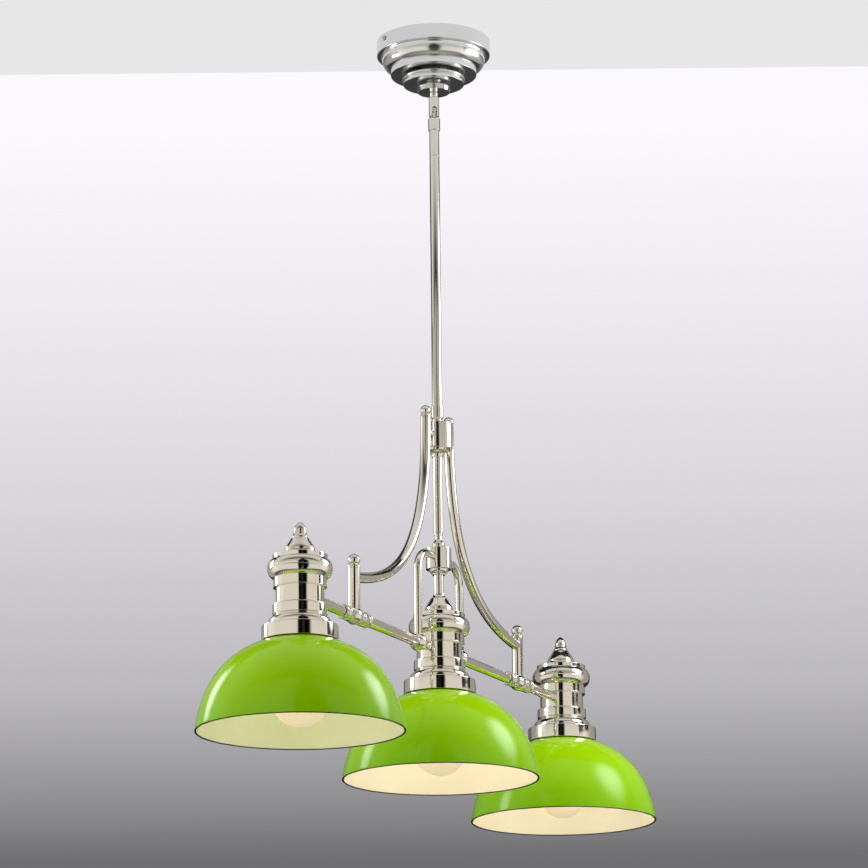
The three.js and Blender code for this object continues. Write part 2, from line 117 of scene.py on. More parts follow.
def arc(centre, radii, start, end, count=12):
    """Points on an arc of an ellipse, angles in degrees from the outward direction."""
    points = []
    for i in range(count + 1):
        angle = math.radians(start + (end - start) * i / count)
        points.append([centre[0] + radii[0] * math.cos(angle), centre[1] + radii[1] * math.sin(angle)])
    return points


def bezier(a, b, c, d, count=16):
    points = []
    for i in range(count + 1):
        t = i / count
        s = 1 - t
        weights = (s ** 3, 3 * s * s * t, 3 * s * t * t, t ** 3)
        points.append([sum(w * p[k] for w, p in zip(weights, (a, b, c, d))) for k in range(len(a))])
    return points


def rounded(points, radius=0.5, closed=True, steps=4):
    """The outline with each corner over 20 degrees made a small arc, with close points on its straights."""
    count = len(points)
    vectors = [Vector(p) for p in points]
    out = []
    for i, corner in enumerate(vectors):
        before = vectors[i - 1] if i or closed else None
        after = vectors[(i + 1) % count] if i < count - 1 or closed else None
        if before is None or after is None:
            out.append(corner)
            continue
        into, away = corner - before, after - corner
        if into.length < 1e-6 or away.length < 1e-6:
            continue
        turn = into.angle(away)
        if turn < SOFT_CORNER:
            out.append(corner)
            continue
        trim = min(radius * math.tan(turn / 2), into.length * 0.4, away.length * 0.4)
        start, end = corner - into.normalized() * trim, corner + away.normalized() * trim
        if into.length > 5 * trim:
            out.append(start - into.normalized() * trim)
        for k in range(steps + 1):
            t = k / steps
            out.append((1 - t) ** 2 * start + 2 * t * (1 - t) * corner + t * t * end)
        if away.length > 5 * trim:
            out.append(end + away.normalized() * trim)
    return [list(p) for p in out]


# ---- meshes ----
SHARP_EDGE = math.radians(35)


def mesh_object(name, shape):
    """A smooth-shaded object from a bmesh in millimetres, with edges over 35 degrees left sharp."""
    bmesh.ops.remove_doubles(shape, verts=shape.verts, dist=1e-4)
    bmesh.ops.recalc_face_normals(shape, faces=shape.faces)
    bmesh.ops.scale(shape, vec=(MM, MM, MM), verts=shape.verts)
    mesh = bpy.data.meshes.new(name)
    shape.to_mesh(mesh)
    shape.free()
    mesh.shade_smooth()
    mesh.set_sharp_from_angle(angle=SHARP_EDGE)
    piece = bpy.data.objects.new(name, mesh)
    bpy.context.scene.collection.objects.link(piece)
    return piece


def add_lathe(shape, outline, steps, axis="Z", centre=(0, 0, 0), closed=True, bands=None):
    """Turns an outline about an axis through centre. bands gives the material of each point's stretch."""
    rings = []
    for radius, height in outline:
        count = 1 if radius < 1e-6 else steps
        ring = []
        for k in range(count):
            angle = 2 * math.pi * k / count
            across, along = radius * math.cos(angle), radius * math.sin(angle)
            point = (across, along, height) if axis == "Z" else (height, across, along)
            ring.append(shape.verts.new([p + c for p, c in zip(point, centre)]))
        rings.append(ring)
    pairs = list(zip(rings, rings[1:]))
    if closed and outline[0][0] > 1e-6:
        pairs.append((rings[-1], rings[0]))
    for i, (lower, upper) in enumerate(pairs):
        if len(lower) == 1 and len(upper) == 1:
            continue
        for k in range(steps):
            corners = [lower[k % len(lower)], lower[(k + 1) % len(lower)],
                       upper[(k + 1) % len(upper)], upper[k % len(upper)]]
            corners = list(dict.fromkeys(corners))
            face = shape.faces.new(corners)
            face.material_index = bands[i] if bands else 0


def add_tube(shape, path, radius, steps=32):
    """A round bar along a path of [x, z] points in the plane of the crossbar, closed at both ends."""
    rings = []
    for i, (x, z) in enumerate(path):
        back, ahead = path[max(i - 1, 0)], path[min(i + 1, len(path) - 1)]
        along = Vector((ahead[0] - back[0], ahead[1] - back[1])).normalized()
        ring = []
        for k in range(steps):
            angle = 2 * math.pi * k / steps
            side, out = radius * math.cos(angle), radius * math.sin(angle)
            ring.append(shape.verts.new((x - along.y * side, out, z + along.x * side)))
        rings.append(ring)
    for lower, upper in zip(rings, rings[1:]):
        for k in range(steps):
            shape.faces.new((lower[k], lower[(k + 1) % steps], upper[(k + 1) % steps], upper[k]))
    shape.faces.new(list(reversed(rings[0])))
    shape.faces.new(rings[-1])


def half_turn(shape):
    """Turns a right-hand shape about the rod's axis, into its left-hand place."""
    bmesh.ops.rotate(shape, cent=(0, 0, 0), matrix=Matrix.Rotation(math.pi, 3, "Z"), verts=shape.verts)


def finish_piece(piece, node, *materials):
    """The piece stands for its CAD node, rides on that node's body and takes its slot's finish."""
    for material in materials:
        piece.data.materials.append(material)
    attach(piece, BODY_OF[node])
    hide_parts(node)


def turned(node, outline, material, steps=64, axis="Z", x=0.0, z=RIM, side=1, radius=0.5):
    """A turned piece for a CAD node, half a turn round for the left side. Heights start at z."""
    shape = bmesh.new()
    centre = (x, 0, z)
    on_axis = outline[0][0] < 1e-6
    add_lathe(shape, rounded(outline, radius, closed=not on_axis), steps, axis, centre)
    if side < 0:
        half_turn(shape)
    finish_piece(mesh_object(node + "_finished", shape), node, material)


def carve(piece, cutter):
    """Cuts the cutter out of the piece and deletes the cutter."""
    modifier = piece.modifiers.new("cut", "BOOLEAN")
    modifier.operation = "DIFFERENCE"
    modifier.solver = "EXACT"
    modifier.object = cutter
    bpy.context.view_layer.update()
    evaluated = piece.evaluated_get(bpy.context.evaluated_depsgraph_get())
    mesh = bpy.data.meshes.new_from_object(evaluated)
    piece.modifiers.clear()
    piece.data = mesh
    mesh.shade_smooth()
    mesh.set_sharp_from_angle(angle=SHARP_EDGE)
    bpy.data.objects.remove(cutter)


# ---- materials ----
def new_material(name):
    material = bpy.data.materials.new(name)
    material.use_nodes = True
    nodes = material.node_tree.nodes
    return material, nodes, material.node_tree.links, nodes["Principled BSDF"]


def noise(nodes, links, scale, detail=4.0):
    """A noise texture fixed to the object's own place."""
    where = nodes.new("ShaderNodeTexCoord")
    texture = nodes.new("ShaderNodeTexNoise")
    texture.inputs["Scale"].default_value = scale
    texture.inputs["Detail"].default_value = detail
    links.new(where.outputs["Object"], texture.inputs["Vector"])
    return texture.outputs["Fac"]


def ranged(nodes, links, value, low, high, start=0.3, end=0.7):
    """value, mapped from start and end, by default the noise's usual span, to low and high."""
    node = nodes.new("ShaderNodeMapRange")
    node.inputs["From Min"].default_value = start
    node.inputs["From Max"].default_value = end
    node.inputs["To Min"].default_value = low
    node.inputs["To Max"].default_value = high
    links.new(value, node.inputs["Value"])
    return node.outputs["Result"]


def mixed(nodes, links, factor, first, second):
    node = nodes.new("ShaderNodeMix")
    node.data_type = "RGBA"
    node.inputs["A"].default_value = (*first, 1)
    node.inputs["B"].default_value = (*second, 1)
    links.new(factor, node.inputs["Factor"])
    return node.outputs["Result"]


def bumped(nodes, links, shader, height, strength, distance):
    node = nodes.new("ShaderNodeBump")
    node.inputs["Strength"].default_value = strength
    node.inputs["Distance"].default_value = distance
    links.new(height, node.inputs["Height"])
    links.new(node.outputs["Normal"], shader.inputs["Normal"])


def metal(name, light, dark, smooth, dull, grain=0.02):
    """A plated or machined metal: tone and polish drift a little over the surface, with a fine grain."""
    material, nodes, links, shader = new_material(name)
    shader.inputs["Metallic"].default_value = 1.0
    drift = ranged(nodes, links, noise(nodes, links, 14), 0, 1)
    links.new(mixed(nodes, links, drift, light, dark), shader.inputs["Base Color"])
    links.new(ranged(nodes, links, noise(nodes, links, 55), smooth, dull), shader.inputs["Roughness"])
    bumped(nodes, links, shader, noise(nodes, links, 900, 2.0), grain, 0.0001)
    return material


def glazed(name, light, dark, smooth, dull, glow=None, strength=0.0):
    """A smooth non-metal with a little drift of tone, and a glow where it is lit from within."""
    material, nodes, links, shader = new_material(name)
    drift = ranged(nodes, links, noise(nodes, links, 9), 0, 1)
    links.new(mixed(nodes, links, drift, light, dark), shader.inputs["Base Color"])
    links.new(ranged(nodes, links, noise(nodes, links, 40), smooth, dull), shader.inputs["Roughness"])
    if glow:
        shader.inputs["Emission Color"].default_value = (*glow, 1)
        shader.inputs["Emission Strength"].default_value = strength
    return material


RIM_SHADE_HEIGHT = 120.0  # height above the rim over which the green's painted shade fades: darkest at the rim, paler above


def green_glass():
    """Cased green glass: even colour, with painted shade that makes it darker towards the rim, and a soft
    gloss.
    """
    material, nodes, links, shader = new_material("green_cased_glass")
    where = nodes.new("ShaderNodeTexCoord")
    split = nodes.new("ShaderNodeSeparateXYZ")
    links.new(where.outputs["Object"], split.inputs["Vector"])
    # painted shade: the green is mixed darker at the rim and paler up the dome, plus a little random drift
    # of tone
    height = ranged(nodes, links, split.outputs["Z"], 0, 1, RIM * MM, (RIM + RIM_SHADE_HEIGHT) * MM)
    tone = nodes.new("ShaderNodeMath")
    tone.operation = "MULTIPLY_ADD"
    tone.inputs[1].default_value = 0.16
    links.new(noise(nodes, links, 11), tone.inputs[0])
    links.new(height, tone.inputs[2])
    colour = mixed(nodes, links, tone.outputs["Value"], (0.29, 0.69, 0.0004), (0.53, 0.98, 0.0015))
    links.new(colour, shader.inputs["Base Color"])
    links.new(ranged(nodes, links, noise(nodes, links, 30), 0.12, 0.16), shader.inputs["Roughness"])
    shader.inputs["Specular IOR Level"].default_value = 0.3
    shader.inputs["Specular Tint"].default_value = (0.9, 1.0, 0.85, 1)
    bumped(nodes, links, shader, noise(nodes, links, 18, 2.0), 0.05, 0.0006)
    return material


NICKEL = metal("polished_nickel", (0.83, 0.79, 0.715), (0.80, 0.755, 0.675), 0.07, 0.11, 0.003)
SATIN_NICKEL = metal("satin_nickel", (0.82, 0.825, 0.83), (0.79, 0.795, 0.80), 0.16, 0.2, 0.003)
GREEN = green_glass()
GLASS_EDGE = glazed("glass_rim_edge", (0.008, 0.02, 0.002), (0.005, 0.012, 0.002), 0.3, 0.45)
WHITE_CASING = glazed("white_glass_casing", (0.86, 0.85, 0.80), (0.80, 0.79, 0.74), 0.12, 0.22)
BULB_GLOW = (1.0, 0.82, 0.46)
BULB = glazed("frosted_bulb_glass", (0.80, 0.74, 0.58), (0.76, 0.69, 0.53), 0.12, 0.25, BULB_GLOW, 0.52)
PORCELAIN = glazed("glazed_porcelain", (0.82, 0.80, 0.74), (0.76, 0.74, 0.68), 0.12, 0.3)
ZINC = metal("zinc_plated_steel", (0.55, 0.56, 0.58), (0.42, 0.43, 0.45), 0.28, 0.45, 0.15)
BRASS = metal("turned_brass", (0.62, 0.46, 0.20), (0.52, 0.37, 0.15), 0.2, 0.38, 0.1)


# ---- canopy and swivel, heights below the ceiling face ----
CANOPY_R = 91.3
SIDE_SCREW_TURN = math.radians(-33.5)
SIDE_SCREW_Z = -8.5
SLOT_TURN = math.radians(35)
BALL_Z = -115.0


def canopy():
    """Stepped cover and its collar. The lowest step is a hollow disc on a neck, with a boss for the nut."""
    outside = [
        [CANOPY_R, 0], [CANOPY_R, -22.8], *arc((89.6, -23.3), (1.7, 1.7), 0, -90, 5), [84.4, -25],
        [83.9, -25.6], *arc((69.3, -27), (14, 19.5), 0, -90, 24), [69.1, -47.2], [69.1, -57], [22.6, -57],
        [22.6, -60], [44.8, -60], *arc((44.8, -63.6), (5.8, 3.6), 86, -50, 22), [48.2, -68.3],
        [48.9, -68.9], [48.9, -72.9], [11.9, -72.9], [11.9, -75.9], [5.3, -75.9],
    ]
    inside = [
        [5.3, -74.4], [10.4, -74.4], [10.4, -71.3], [46.4, -71.3], [46.4, -68], [48.4, -63.6],
        [44.4, -61.6], [21, -61.6], [21, -55.4], [67.3, -55.4], [67.3, -46.5],
        *arc((68, -27), (13.5, 17.5), -80, 0, 8), [81.5, -23.4], [CANOPY_R - WALL, -23.4],
        [CANOPY_R - WALL, 0],
    ]
    turned("canopy", outside + inside, SATIN_NICKEL, 128, z=0, radius=0.6)
    collar = [
        [5.3, -76.2], [22.8, -76.2], *arc((22.7, -79.4), (4.2, 3.2), 86, -12, 14),
        [25.8, -84.6], [25.6, -85.8], [5.3, -85.8],
    ]
    turned("canopy_collar", collar, SATIN_NICKEL, 64, z=0, radius=0.5)


def side_screw(word, side):
    """Domed head with a driver slot, on a shank that goes through the canopy's band."""
    shape = bmesh.new()
    head = CANOPY_R + 0.2
    outline = [[0, 81], [2, 81], [2, head], [4.2, head], *arc((0, head + 0.3), (4.2, 2.2), 0, 90, 8)]
    add_lathe(shape, rounded(outline, 0.2, closed=False), 32, "X")
    screw = mesh_object(f"side_screw_{word}_finished", shape)
    slot = bmesh.new()
    bmesh.ops.create_cube(slot, size=1)
    bmesh.ops.scale(slot, vec=(2.4, 0.9, 11), verts=slot.verts)
    bmesh.ops.translate(slot, vec=(head + 2.9, 0, 0), verts=slot.verts)
    carve(screw, mesh_object("screw_slot", slot))
    screw.data.transform(Matrix.Translation((0, 0, SIDE_SCREW_Z * MM)))
    screw.data.transform(Matrix.Rotation(SIDE_SCREW_TURN + (math.pi if side < 0 else 0), 4, "Z"))
    finish_piece(screw, f"side_screw_{word}", ZINC)


def swivel():
    """Slotted socket above, ball stud below. The slot's round end sits at the ball's centre."""
    outline = [[2.6, -64], [4.9, -64], [4.9, -86.8], [6.4, -86.8], [6.4, -94], [8.5, -95.4], [8.5, -126.1],
               [7.6, -127.1], [4.4, -127.1], [4.5, BALL_Z - 6], *arc((0, BALL_Z), (5.7, 5.7), -38, 62, 10)]
    shape = bmesh.new()
    add_lathe(shape, rounded(outline, 0.4), 64)
    socket = mesh_object("swivel_socket_finished", shape)
    slot = bmesh.new()
    half = 4.0
    side = [[half, BALL_Z - 20], *arc((0, BALL_Z), (half, half), 0, 180, 24), [-half, BALL_Z - 20]]
    faces = [[slot.verts.new((depth, across, z)) for across, z in side] for depth in (-15, 15)]
    slot.faces.new(faces[0])
    slot.faces.new(list(reversed(faces[1])))
    for k in range(len(side)):
        n = (k + 1) % len(side)
        slot.faces.new((faces[0][k], faces[0][n], faces[1][n], faces[1][k]))
    cutter = mesh_object("swivel_slot", slot)
    cutter.data.transform(Matrix.Rotation(SLOT_TURN, 4, "Z"))
    carve(socket, cutter)
    finish_piece(socket, "swivel_socket", NICKEL)
    stud = [
        [0, BALL_Z - 27], [4.6, BALL_Z - 27], [4.6, BALL_Z - 15.3], [5.2, BALL_Z - 15.1],
        [5.2, BALL_Z - 14.3], [3.8, BALL_Z - 13.2], [2.4, BALL_Z - 7],
        *arc((0, BALL_Z), (5.3, 5.3), -63, 90, 20),
    ]
    turned("swivel_ball_stud", stud, NICKEL, 48, z=0, radius=0.3)


# ---- down rod, heights above the rims ----
ROD_R = 8.0
ROD_TOP = 1060.7
ROD_SEAM = 1009.7
SLEEVE_TOP = 594.8


def pipe(node, outer, low, high):
    outline = [[outer - WALL, low], [outer, low], [outer, high], [outer - WALL, high]]
    turned(node, outline, NICKEL, 48, radius=0.25)


def down_rod():
    coupler = [
        [5, 1072.8], [8.6, 1073.3], [9.9, 1071.9], [9.6, 1053.8], [9, 1053], [8.3, 1053], [8.3, 1061],
        [5, 1061],
    ]
    turned("rod_top_coupler", coupler, NICKEL, 48, radius=0.4)
    pipe("stub_rod", ROD_R, ROD_SEAM + 0.15, ROD_TOP)
    pipe("down_rod", ROD_R, SLEEVE_TOP - 11.7, ROD_SEAM - 0.15)
    turned("rod_joint_nipple", [[4.6, 993.7], [6.1, 993.7], [6.1, 1025.7], [4.6, 1025.7]], BRASS, 32)
    top = SLEEVE_TOP
    sleeve = [
        [8.3, top], [9.3, top], [9.8, top - 0.7], [9.8, 575.8],
        *bezier([9.4, 575], [8.6, 573.6], [7.2, 573], [7.2, 571], 6),
        [7.2, 566], [4.9, 566], [4.9, 553], [3.4, 553], [3.4, top - 12], [8.3, top - 12],
    ]
    turned("hub_sleeve", sleeve, NICKEL, 64, radius=0.3)


# ---- upper hub, arms and posts ----
HUB_R = 24.4
HUB_TOP = 565.7
HUB_BOTTOM = 524.5
ARM_R = 8.0
ARM_X = 42.0
ARM_TOP = 566.6
ARM_FOOT = 262.0
STUD_Z = 545.0
POST_R = 9.0
POST_TOP = 274.7


def upper_hub():
    inside = HUB_R - WALL
    drum = [
        [5.2, HUB_TOP], [HUB_R, HUB_TOP], [HUB_R, HUB_BOTTOM], [inside, HUB_BOTTOM],
        [inside, HUB_TOP - 2.4], [5.2, HUB_TOP - 2.4],
    ]
    turned("upper_hub", drum, NICKEL, 96, radius=0.9)
    bore = 7.8
    collar = [
        [bore, HUB_BOTTOM + 2.6], [inside - GAP, HUB_BOTTOM + 2.6], [inside - GAP, HUB_BOTTOM + 0.6],
        [17.6, HUB_BOTTOM + 0.6], [17.2, 522.6],
        *bezier([17.0, 521.6], [12.6, 520.4], [9.6, 517], [9.2, 512.6], 12),
        [8.7, 511.6], [bore, 511.6],
    ]
    turned("hub_lower_collar", collar, NICKEL, 64, radius=0.35)


def ball_finial(node, tube_r, top, ball_r, x, side):
    """A screw-on ball: a cap as wide as its tube, a short neck and the ball."""
    plug = tube_r - 2 * WALL
    cap_top = top + 4.2
    neck = ball_r * 0.62
    ball = cap_top + ball_r * 0.94
    outline = [
        [0, top - 8], [plug, top - 8], [plug, top + GAP], [tube_r, top + GAP], [tube_r, cap_top - 0.9],
        *arc((tube_r - 0.9, cap_top - 0.9), (0.9, 0.9), 0, 90, 5), [neck + 0.6, cap_top],
        [neck, cap_top + 0.3], *arc((0, ball), (ball_r, ball_r), -46, 90, 28),
    ]
    turned(node, outline, NICKEL, 48, x=x, side=side, radius=0.3)


def arm(word, side):
    """The long sweep from beside the upper hub to its post, with the stud that ties it to the hub."""
    shape = bmesh.new()
    sweep = bezier([ARM_X, ARM_TOP], [ARM_X, 354], [136.4, 280.5], [POST_X, ARM_FOOT], 96)
    add_tube(shape, [[x, z + RIM] for x, z in sweep], ARM_R, 40)
    stud = [
        [0, HUB_R - 1.4], [6.4, HUB_R - 1.4], [6.4, 27.3],
        *bezier([6.2, 28.6], [5.6, 29.4], [4.8, 29.6], [4.6, 31], 6), [4.6, ARM_X - 5], [0, ARM_X - 5],
    ]
    add_lathe(shape, rounded(stud, 0.3, closed=False), 32, "X", (0, 0, STUD_Z + RIM))
    if side < 0:
        half_turn(shape)
    finish_piece(mesh_object(f"arm_{word}_finished", shape), f"arm_{word}", NICKEL)


def tee(word, side):
    """On the crossbar: a round bulge between two rings and two end beads."""
    half = [
        *arc((0, 0), (13.3, 15.4), 0, 47, 12), [9.8, 12.6], [9.6, 15.2], [9.9, 16.8],
        *arc((10.4, 18.9), (1.0, 1.5), -90, 0, 4), [11.4, 28.2], *arc((10.4, 28.6), (1.0, 1.4), 0, 90, 4),
        [9.4, 31], [9.4, 35.4], [10.2, 36.4], *arc((10.1, 38.7), (1.3, 2.2), -80, 80, 10),
        [9.4, 41.2], [9.2, 41.5],
    ]
    outline = [[r, -x] for r, x in reversed(half[1:])] + half
    outline += [[8.3, 41.5], [8.3, 33.5], [5, 33.5], [5, -33.5], [8.3, -33.5], [8.3, -41.5]]
    shape = bmesh.new()
    add_lathe(shape, rounded(outline, 0.3), 64, "X", (side * POST_X, 0, BAR_Z + RIM))
    finish_piece(mesh_object(f"tee_{word}_finished", shape), f"tee_{word}", NICKEL)


def sweep_and_posts():
    for word, side in SIDES.items():
        arm(word, side)
        ball_finial(f"arm_finial_{word}", ARM_R, ARM_TOP, 8.2, ARM_X, side)
        inside = POST_R - WALL
        post = [[inside, BAR_Z + 6], [POST_R, BAR_Z + 6], [POST_R, POST_TOP], [inside, POST_TOP]]
        turned(f"post_{word}", post, NICKEL, 48, x=POST_X, side=side, radius=0.2)
        ball_finial(f"post_finial_{word}", POST_R, POST_TOP, 9.2, POST_X, side)
        tee(word, side)


# ---- lower stem, lower hub, yoke and crossbar ----
STEM_R = 7.5
LOWER_HUB_R = 20.2
YOKE_R = 6.35
YOKE_X = 75.0
YOKE_Z = 349.0
YOKE_BEND = 32.0
YOKE_BALL_R = 14.0
BAR_R = 8.0
TEE_HALF = 33.2  # from a post's axis to where the crossbar tubes end in its tee
LAMP_HALF = 28.0  # from a lamp's axis to where the outer tube ends in its housing


def lower_stem():
    pipe("lower_stem", STEM_R, 389.8, HUB_BOTTOM + 3.4)
    check_ring = [
        [4.6, 389.5], [6.6, 389.5], [6.6, 386.6], [5.6, 384.6], [5.6, 380.6],
        *bezier([5.7, 379], [6.4, 375], [9.6, 374.4], [10, 371], 10), [10, 368],
        *bezier([9.8, 367], [9.2, 366], [8.6, 366], [8.4, 365], 4), [8.4, 364.7], [4.6, 364.7],
    ]
    turned("lower_check_ring", check_ring, NICKEL, 48, radius=0.35)
    top, bottom, bore = 364.4, 330.9, STEM_R + GAP
    inside = LOWER_HUB_R - WALL
    hub = [
        [4.6, top], [LOWER_HUB_R, top], [LOWER_HUB_R, bottom], [15.2, bottom], [15, 329.8],
        *bezier([14.8, 329], [13.6, 325], [10.9, 325.4], [10.4, 322.6], 10), [10.2, 321.9], [bore, 321.9],
        [bore, 326.3], [4.6, 326.3], [4.6, 333.4], [inside, 333.4], [inside, top - 2.4], [4.6, top - 2.4],
    ]
    turned("lower_hub", hub, NICKEL, 80, radius=0.7)
    pipe("centre_drop_tube", STEM_R, 279, 326)


def yoke(word, side):
    """Tube from the lower hub's side, over a bend and down, and the ball fitting it ends on."""
    bend = (YOKE_X - YOKE_BEND, YOKE_Z - YOKE_BEND)
    path = [[13, YOKE_Z], [28, YOKE_Z], *arc(bend, (YOKE_BEND, YOKE_BEND), 90, 0, 32)]
    path += [[YOKE_X, z] for z in (300, 280, 250, BAR_Z + 6)]
    shape = bmesh.new()
    add_tube(shape, [[x, z + RIM] for x, z in path], YOKE_R, 40)
    if side < 0:
        half_turn(shape)
    finish_piece(mesh_object(f"yoke_{word}_finished", shape), f"yoke_{word}", NICKEL)
    bead = 44.5
    fitting = [
        [0, 30], [4.6, 30], [4.6, 39.6], [5.2, 40], *arc((5.4, bead), (2.0, 3.6), -84, 84, 14),
        [5.2, 49.4], [5, 51], [5, 60.6], [5.8, 62],
        *arc((0, YOKE_X), (YOKE_BALL_R, YOKE_BALL_R), -64, 90, 30),
    ]
    turned(f"yoke_fitting_{word}", fitting, NICKEL, 64, "X", z=BAR_Z + RIM, side=side, radius=0.3)


def crossbar(word, side):
    stretches = {
        "inner": (YOKE_X + 8, POST_X - TEE_HALF),
        "outer": (POST_X + TEE_HALF, PITCH - LAMP_HALF),
    }
    for name, (start, end) in stretches.items():
        outline = [[BAR_R - WALL, start], [BAR_R, start], [BAR_R, end], [BAR_R - WALL, end]]
        turned(f"crossbar_{name}_{word}", outline, NICKEL, 48, "X", z=BAR_Z + RIM, side=side, radius=0.2)


# ---- the three lamps, each turned about its own axis ----
NECK_R = 35.4
HOLDER_R = 56.0
HOLDER_TOP = 154.6
HOLDER_BOTTOM = 133.0
SHADE_R = 152.4
GLASS = 3.2
GLASS_TOP = 138.0
MOUTH_R = 23.0
CAP_FOOT = 225.2
DROP_TUBE_BORE = 7.8
BULB_R = 41.0
BULB_Z = 47.0


def cap(word, x):
    """Bell, flat flange and the torus, spun in two halves. The middle one's top fits the drop tube."""
    if word == "middle":
        bore = DROP_TUBE_BORE
        flare = bezier([9.8, 289], [10.4, 287], [11.4, 285.6], [13, 284.4], 6)
        top = [[bore, 292], [9.2, 292], [9.5, 290.8], *flare]
    else:
        bore = 5.2
        top = [[bore, 284.8], [12.8, 284.8]]
    torus = (36.6, 239.2), (11.2, 14.6)
    outside = [
        *top, *bezier([13.5, 284.1], [15.4, 279.8], [19.8, 274.6], [21.7, 269.8], 14), [22.1, 268.4],
        [22.1, 266.6], *bezier([22.3, 265.8], [22.8, 262], [25.6, 260.5], [30, 260.1], 12),
        [40.2, 259.4], [40.2, 253.5], *arc(*torus, 66, 4, 14), [47.2, 239],
        *arc(*torus, -6, -66, 14), [40.6, CAP_FOOT],
    ]
    inside = [
        [39.1, CAP_FOOT], [39.1, 227.6], *arc((35, 239.2), (10, 12), -60, 60, 10), [38.2, 251.4],
        [38.2, 256.6], [24, 258.4], [19.6, 264], [18.4, 272], [14.4, 278], [bore, top[0][1] - 2 * WALL],
    ]
    turned(f"cap_{word}", outside + inside, NICKEL, 96, x=x, radius=0.45)


def housing(word, x):
    outside = [
        [36.8, 228], [38.8, 228], [38.8, 212.6], [39.2, 212.2], [39.2, 210.9], [NECK_R, 210.9],
        [NECK_R, 186.5], [38.2, 186.4], *arc((38, 184.2), (2.2, 2.2), 85, 0, 6), [40.2, 172.4],
        *arc((38, 172.2), (2.2, 2.2), 0, -85, 6), [37.5, 169.8], [37.4, 168.5],
        *bezier([38, 167.9], [42.8, 167.2], [46.1, 163.4], [46.4, 158], 14), [46.5, HOLDER_TOP + GAP],
    ]
    inside = [
        [45, HOLDER_TOP + GAP], *bezier([44.8, 158], [44.2, 162], [41, 164.6], [35.6, 166.7], 8),
        [35.4, 170.6], [38.2, 173.2], [38.2, 184.3], [NECK_R - WALL, 184.8], [NECK_R - WALL, 212.4],
        [36.8, 213],
    ]
    turned(f"housing_{word}", outside + inside, NICKEL, 96, x=x, radius=0.35)
    holder = [
        [MOUTH_R, HOLDER_TOP], [HOLDER_R - 1.5, HOLDER_TOP],
        *arc((HOLDER_R - 1.5, HOLDER_TOP - 1.5), (1.5, 1.5), 80, 0, 6), [HOLDER_R, HOLDER_BOTTOM],
        [HOLDER_R - WALL, HOLDER_BOTTOM], [HOLDER_R - WALL, HOLDER_TOP - 2], [MOUTH_R, HOLDER_TOP - 2],
    ]
    turned(f"shade_holder_{word}", holder, NICKEL, 112, x=x, radius=0.75)


def shade(word, x):
    """The dome: green outside, a ground edge at the rim and white inside, along one smooth curve."""
    dome = bezier([SHADE_R, 0], [142.5, 71.7], [110.7, 113], [50, 133], 48)
    inner = []
    for i, point in enumerate(dome):
        back, ahead = dome[max(i - 1, 0)], dome[min(i + 1, len(dome) - 1)]
        along = (Vector(ahead) - Vector(back)).normalized()
        inner.append([point[0] - along.y * GLASS, point[1] + along.x * GLASS])
    edge = 1.3
    outside = [[SHADE_R - 0.06, edge], *dome[1:], [47, 134.6], [44, GLASS_TOP], [MOUTH_R, GLASS_TOP]]
    seat = GLASS_TOP - GLASS
    inner_r = inner[0][0]
    inside = [[MOUTH_R, seat], [44, seat], *reversed(inner[1:]), [inner_r - 0.05, edge]]
    lip = [[inner_r + 0.1, 0.45], [inner_r + 0.75, 0.03], [SHADE_R - 0.75, 0.03], [SHADE_R - 0.2, 0.45]]
    bands = [0] * (len(outside) - 1) + [1] * len(inside) + [2] * (len(lip) + 1)
    shape = bmesh.new()
    add_lathe(shape, outside + inside + lip, 160, centre=(x, 0, RIM), bands=bands)
    glass = mesh_object(f"shade_{word}_finished", shape)
    finish_piece(glass, f"shade_{word}", GREEN, WHITE_CASING, GLASS_EDGE)


def bulb(word, x):
    """Frosted globe on its screw base: the glass is the piece's first material and the base its second."""
    glass = [
        *arc((0, BULB_Z), (BULB_R, BULB_R), -90, 58, 40),
        *bezier([20.4, 82.6], [17, 86.4], [14.2, 88.6], [13.4, 93], 8), [13.2, 97],
    ]
    thread = []
    for k in range(5):
        low = 98.2 + k * 3.6
        thread += [[12.3, low], [12.9, low + 0.9], [13.2, low + 1.8], [12.9, low + 2.7]]
    tip = [[12.3, 116.4], [12.3, 119], [9.6, 122], [4.4, 124], [4.4, 125.4], [3.4, 126], [0, 126]]
    bands = [0] * (len(glass) - 1) + [1] * (len(thread) + len(tip))
    shape = bmesh.new()
    add_lathe(shape, glass + thread + tip, 64, centre=(x, 0, RIM), bands=bands)
    finish_piece(mesh_object(f"bulb_{word}_finished", shape), f"bulb_{word}", BULB, BRASS)


def lampholder(word, x):
    rod_top = 296 if word == "middle" else 281
    outline = [
        [3.7, rod_top], [4.9, rod_top], [4.9, 168], [14, 168], [18.4, 164], [18.4, 143.4], [30, 143.4],
        [30, 139.4], [20.2, 139.4], [20.2, 99], [13.8, 99], [13.8, 128], [3.7, 132],
    ]
    turned(f"lampholder_{word}", outline, PORCELAIN, 64, x=x, radius=0.6)
    ring = [[20.6, 124], [25, 124], [29, 128.6], [29, 131.6], [20.6, 131.6]]
    turned(f"shade_ring_{word}", ring, BRASS, 64, x=x, radius=0.4)


def acorn(word, x):
    outline = [
        [0, 272], [3.4, 272], [3.4, 285.1], [11.8, 285.1], [11.8, 286],
        *bezier([11.7, 286.7], [11.2, 288.6], [9.8, 289.8], [9, 291.4], 10), [8.9, 291.9], [9.5, 292.3],
        *arc((9.5, 293.1), (0.6, 0.8), -80, 70, 6),
        *bezier([9.3, 294.2], [9.1, 301.4], [5.8, 306.2], [1.6, 308.6], 18),
        [0.8, 308.9], [0, 309],
    ]
    turned(f"lamp_finial_{word}", outline, NICKEL, 56, x=x, radius=0.25)


def lamps():
    for word, x in LAMP_X.items():
        cap(word, x)
        housing(word, x)
        shade(word, x)
        bulb(word, x)
        lampholder(word, x)
        if word != "middle":
            acorn(word, x)


